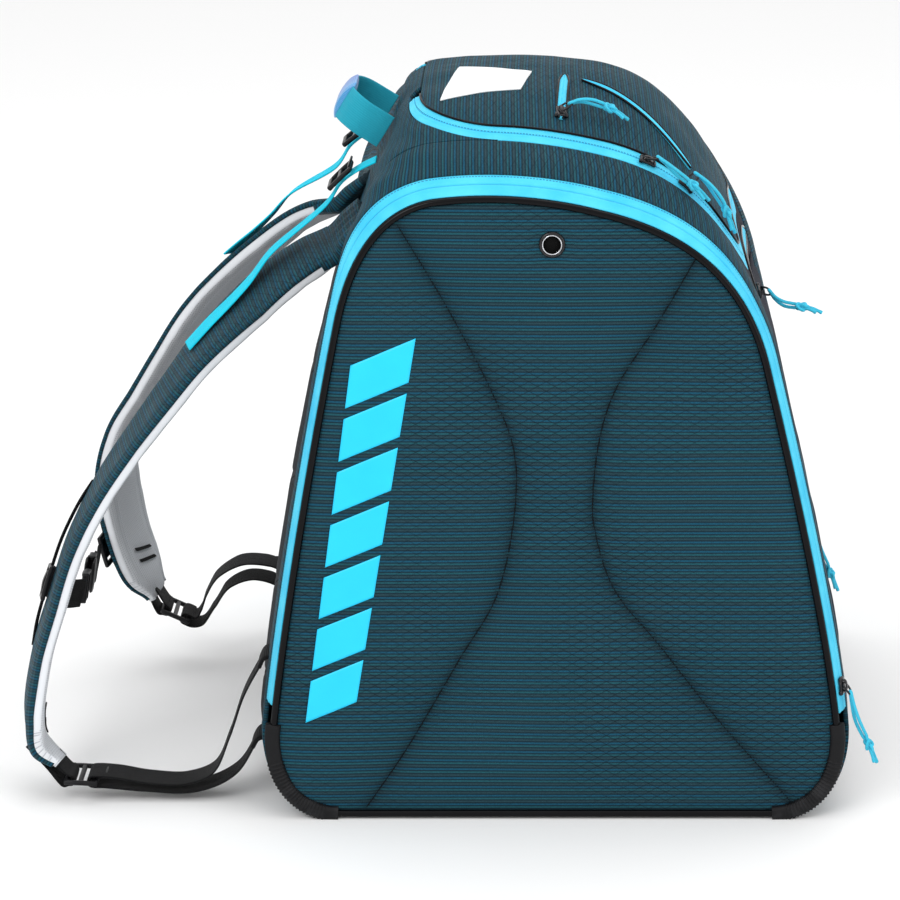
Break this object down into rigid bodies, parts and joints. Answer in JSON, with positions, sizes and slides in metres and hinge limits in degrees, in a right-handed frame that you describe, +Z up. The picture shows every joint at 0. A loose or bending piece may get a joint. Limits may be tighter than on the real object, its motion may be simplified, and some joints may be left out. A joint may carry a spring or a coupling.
{
  "type": "ski boot bag",
  "caption": "Upright boot bag with a zipped boot compartment on each side, a domed zipped lid, a grab handle and a padded backpack harness.",
  "frame": {"origin": "middle of the base, on the surface that the bag stands on", "axes": "+X towards the bag's front, away from the wearer; -Y towards the wearer's left; +Z up from the base"},
  "size_m": [0.6092, 0.3862, 0.5027],
  "materials": {
    "striped_fabric": "fine teal and slate stripes, ripstop",
    "dark_fabric": "plain dark navy, matte",
    "strap_lining": "pale spacer mesh",
    "zip_tape": "sky blue woven tape with a coil",
    "pull_cord": "sky blue braided cord",
    "piping": "black, smooth",
    "rubber": "black, ribbed",
    "black_webbing": "black woven webbing",
    "cyan_webbing": "bright cyan woven webbing",
    "grip_fabric": "blue woven cover with a soft gradient",
    "black_plastic": "black moulded",
    "dark_metal": "black enamel",
    "pale_patch": "pale film"
  },
  "bodies": {
    "bag": {"base_panel": "dark_fabric", "back_panel": "dark_fabric", "front_panel": "dark_fabric", "front_pocket": "dark_fabric", "front_tape": "zip_tape", "lid_frame_tape": "zip_tape", "left_gusset": "striped_fabric", "left_side_base": "striped_fabric", "left_divider": "dark_fabric", "left_frame_tape": "zip_tape", "left_back_guard": "rubber", "left_front_guard": "rubber", "left_adjuster_web": "black_webbing", "left_lifter_web": "cyan_webbing", "right_gusset": "striped_fabric", "right_side_base": "striped_fabric", "right_divider": "dark_fabric", "right_frame_tape": "zip_tape", "right_back_guard": "rubber", "right_front_guard": "rubber", "right_adjuster_web": "black_webbing", "right_lifter_web": "cyan_webbing"},
    "left_door": {"left_boot_door": "striped_fabric", "left_door_piping": "piping", "left_door_tape": "zip_tape", "left_eyelet": "dark_metal"},
    "left_door_zip_slider": {"left_door_slider": "dark_metal", "left_door_pull": "pull_cord"},
    "right_door": {"right_boot_door": "striped_fabric", "right_door_piping": "piping", "right_door_tape": "zip_tape", "right_eyelet": "dark_metal"},
    "right_door_zip_slider": {"right_door_slider": "dark_metal", "right_door_pull": "pull_cord"},
    "lid": {"lid_panel": "striped_fabric", "lid_tape": "zip_tape", "lid_patch": "pale_patch", "lid_pocket_tape": "zip_tape"},
    "lid_rear_zip_slider": {"lid_rear_slider": "dark_metal", "lid_rear_pull": "pull_cord"},
    "lid_front_zip_slider": {"lid_front_slider": "dark_metal", "lid_front_pull": "pull_cord"},
    "lid_pocket_zip_slider": {"lid_pocket_slider": "dark_metal", "lid_pocket_pull": "pull_cord"},
    "front_zip_slider": {"front_slider": "dark_metal", "front_pull": "pull_cord"},
    "handle": {"grab_handle": "cyan_webbing", "handle_grip": "grip_fabric"},
    "harness": {"left_strap": "striped_fabric", "left_ladder_lock": "black_plastic", "left_lifter_buckle": "black_plastic", "right_strap": "striped_fabric", "right_ladder_lock": "black_plastic", "right_lifter_buckle": "black_plastic"},
    "sternum_strap": {"left_sternum_slide": "black_plastic", "right_sternum_slide": "black_plastic", "right_sternum_web": "black_webbing", "sternum_clip_socket": "black_plastic"},
    "sternum_tongue": {"sternum_clip_tongue": "black_plastic", "left_sternum_web": "zip_tape"}
  },
  "joints": [
    {"name": "left_door_fold", "type": "hinge", "parent": "bag", "child": "left_door", "pos_m": [0, -0.1875, 0.076], "axis": [1, 0, 0], "range_deg": [0, 95]},
    {"name": "right_door_fold", "type": "hinge", "parent": "bag", "child": "right_door", "pos_m": [0, 0.1875, 0.076], "axis": [-1, 0, 0], "range_deg": [0, 95]},
    {"name": "left_door_zip", "type": "slide", "parent": "left_door", "child": "left_door_zip_slider", "axis": [-0.185, 0.055, 0.9812], "range_m": [0, 0.1]},
    {"name": "right_door_zip", "type": "slide", "parent": "right_door", "child": "right_door_zip_slider", "axis": [-0.185, -0.055, 0.9812], "range_m": [0, 0.1]},
    {"name": "lid_fold", "type": "hinge", "parent": "bag", "child": "lid", "pos_m": [-0.0945, 0, 0.4948], "axis": [0, -1, 0], "range_deg": [0, 95]},
    {"name": "lid_rear_zip", "type": "hinge", "parent": "lid", "child": "lid_rear_zip_slider", "pos_m": [-0.0471, -0.118, 0.1695], "axis": [0, -1, 0], "range_deg": [0, 20]},
    {"name": "lid_front_zip", "type": "hinge", "parent": "lid", "child": "lid_front_zip_slider", "pos_m": [-0.0029, -0.119, 0.33], "axis": [0, 1, 0], "range_deg": [0, 18]},
    {"name": "lid_pocket_zip", "type": "hinge", "parent": "lid", "child": "lid_pocket_zip_slider", "pos_m": [0.003, 0, 0.2435], "axis": [-1, 0, 0], "range_deg": [0, 13]},
    {"name": "front_zip", "type": "hinge", "parent": "bag", "child": "front_zip_slider", "pos_m": [0.4476, 0, -0.1387], "axis": [-0.8508, 0, -0.5255], "range_deg": [0, 16]},
    {"name": "handle_swing", "type": "hinge", "parent": "bag", "child": "handle", "pos_m": [-0.1173, 0, 0.4595], "axis": [0, 1, 0], "range_deg": [-18, 7], "stiffness_Nm_per_rad": 0.5},
    {"name": "harness_swing", "type": "hinge", "parent": "bag", "child": "harness", "pos_m": [-0.1555, 0, 0.388], "axis": [0, 1, 0], "range_deg": [-3, 12], "deforming": ["left_adjuster_web", "right_adjuster_web", "left_lifter_web", "right_lifter_web"]},
    {"name": "sternum_height", "type": "slide", "parent": "harness", "child": "sternum_strap", "axis": [-0.036, 0, -0.9994], "range_m": [-0.01, 0.006]},
    {"name": "sternum_release", "type": "slide", "parent": "sternum_strap", "child": "sternum_tongue", "axis": [0, -1, 0], "range_m": [0, 0.02], "deforming": ["left_sternum_web"]}
  ]
}
